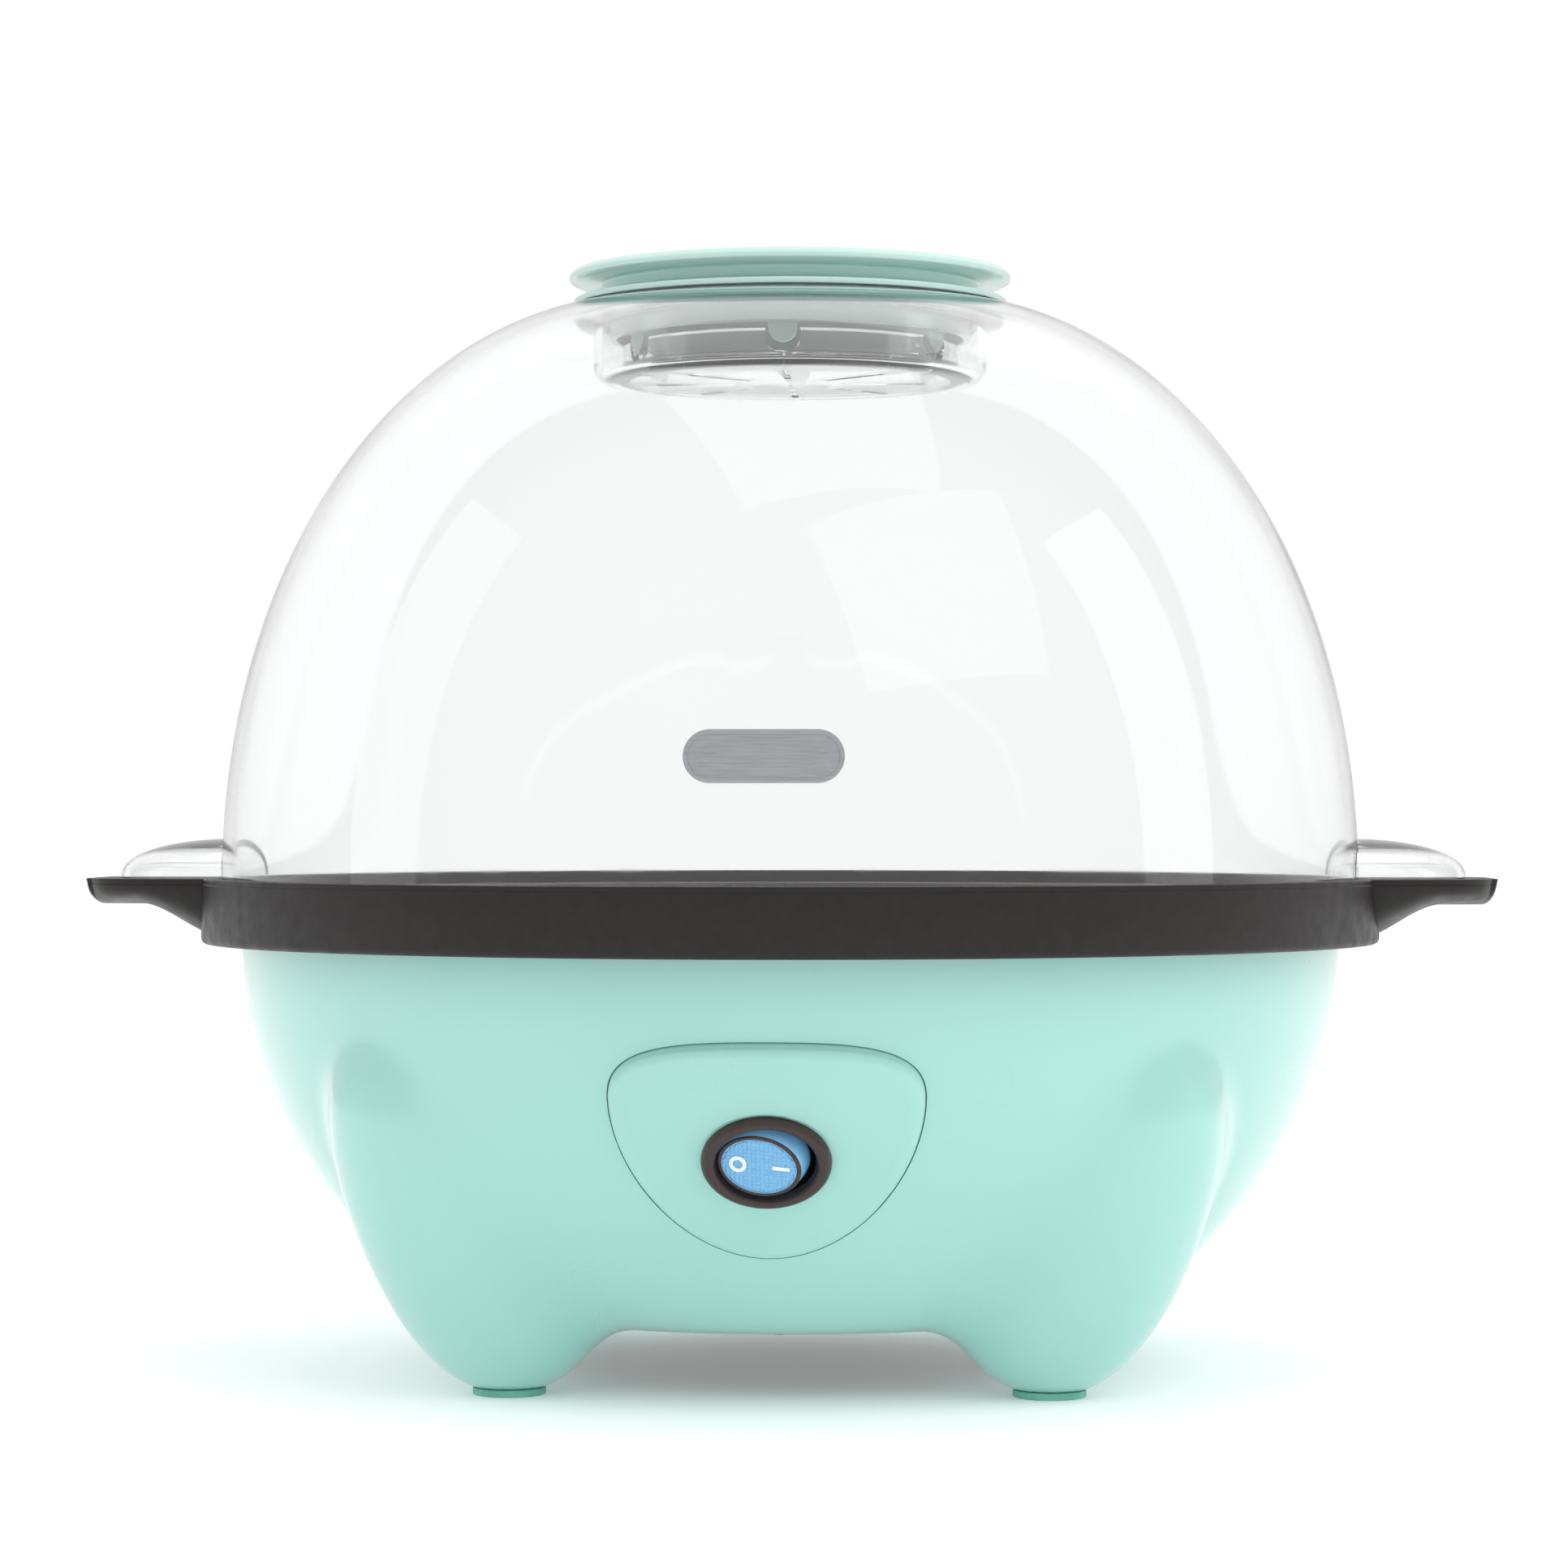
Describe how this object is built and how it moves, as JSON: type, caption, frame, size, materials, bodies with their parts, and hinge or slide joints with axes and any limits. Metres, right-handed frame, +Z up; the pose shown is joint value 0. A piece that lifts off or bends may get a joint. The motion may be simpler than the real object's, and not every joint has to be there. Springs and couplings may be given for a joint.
{
  "type": "popcorn maker",
  "caption": "Stirring popcorn maker: clear lift-off dome with a butter-well cap over a heated dish with a turning wire, on a four-legged mint base with a rocker switch.",
  "frame": {"origin": "on the floor under the middle of the four feet, at the bottom centre of the bounding box", "axes": "+X from handle to handle, to the right when the switch faces the viewer; the switch faces -Y; +Z up"},
  "size_m": [0.371, 0.311, 0.29],
  "materials": {
    "mint_plastic": "glossy moulded pale mint, faint orange peel",
    "charcoal_plastic": "satin fine-grained brown-black moulding",
    "clear_plastic": "polished clear plastic, slightly grey at its edges",
    "nonstick": "dark non-stick coating with a fine speckle",
    "bare_steel": "bright pressed or turned steel",
    "zinc_screw": "zinc-plated steel",
    "heater_sheath": "heat-darkened tubular sheath",
    "brass_part": "plain brass",
    "copper_winding": "enamelled copper winding",
    "magnet": "sintered ferrite",
    "nylon": "natural white nylon",
    "rubber_foot": "matt soft rubber",
    "badge_silver": "satin silver, plain",
    "rocker_blue": "translucent lit blue with a fine pyramid texture and white marks",
    "phenolic": "brown phenolic body",
    "lead_sleeve": "silicone-covered lead"
  },
  "bodies": {
    "base": {"base_housing": "mint_plastic", "switch_panel": "mint_plastic", "bottom_cover": "charcoal_plastic", "rim_ring": "charcoal_plastic", "switch_bezel": "charcoal_plastic", "cord_gland": "charcoal_plastic", "heating_plate": "nonstick", "heat_shield": "bare_steel", "thermal_fuse": "bare_steel", "motor_can": "bare_steel", "rotor_pin": "bare_steel", "gear_plate": "bare_steel", "lay_pin": "bare_steel", "gearbox_cover": "bare_steel", "motor_bracket": "bare_steel", "cover_screw_1": "zinc_screw", "cover_screw_2": "zinc_screw", "cover_screw_3": "zinc_screw", "cover_screw_4": "zinc_screw", "ring_screw_1": "zinc_screw", "ring_screw_2": "zinc_screw", "ring_screw_3": "zinc_screw", "ring_screw_4": "zinc_screw", "plate_screw_1": "zinc_screw", "plate_screw_2": "zinc_screw", "plate_screw_3": "zinc_screw", "motor_screw_1": "zinc_screw", "motor_screw_2": "zinc_screw", "bracket_rivet_1": "zinc_screw", "bracket_rivet_2": "zinc_screw", "block_screw": "zinc_screw", "heating_element": "heater_sheath", "shaft_bush": "brass_part", "switch_terminal_1": "brass_part", "switch_terminal_2": "brass_part", "motor_coil": "copper_winding", "terminal_block": "nylon", "foot_pad_1": "rubber_foot", "foot_pad_2": "rubber_foot", "foot_pad_3": "rubber_foot", "foot_pad_4": "rubber_foot", "thermostat": "phenolic", "lead_live": "lead_sleeve", "lead_neutral": "lead_sleeve", "lead_heater": "lead_sleeve", "lead_motor": "lead_sleeve"},
    "dome": {"dome_cover": "clear_plastic", "badge_plate": "badge_silver"},
    "cap": {"lid_cap": "mint_plastic"},
    "rocker": {"switch_rocker": "rocker_blue"},
    "stirrer": {"output_gear": "nylon", "stir_hub": "charcoal_plastic", "stir_wire": "bare_steel", "stir_nut": "charcoal_plastic"},
    "layshaft": {"lay_gear": "nylon"},
    "motor_rotor": {"rotor": "magnet"}
  },
  "joints": [
    {"name": "dome_lift", "type": "slide", "parent": "base", "child": "dome", "axis": [0, 0, 1], "range_m": [0, 0.1]},
    {"name": "cap_lift", "type": "slide", "parent": "dome", "child": "cap", "axis": [0, 0, 1], "range_m": [0, 0.06]},
    {"name": "rocker_tilt", "type": "hinge", "parent": "base", "child": "rocker", "pos_m": [0, -0.12918, 0.06609], "axis": [0, -0.4451, 0.8955], "range_deg": [0, 24]},
    {"name": "stirrer_spin", "type": "hinge", "parent": "base", "child": "stirrer", "pos_m": [0, 0, 0.1], "axis": [0, 0, 1], "continuous": true},
    {"name": "layshaft_spin", "type": "hinge", "parent": "base", "child": "layshaft", "pos_m": [0.018, 0, 0.04], "axis": [0, 0, 1], "continuous": true},
    {"name": "rotor_spin", "type": "hinge", "parent": "base", "child": "motor_rotor", "pos_m": [0, 0, 0.035], "axis": [0, 0, 1], "continuous": true}
  ],
  "couplings": [
    {"joint": "layshaft_spin", "follows": "stirrer_spin", "ratio": -3},
    {"joint": "rotor_spin", "follows": "stirrer_spin", "ratio": 9}
  ]
}
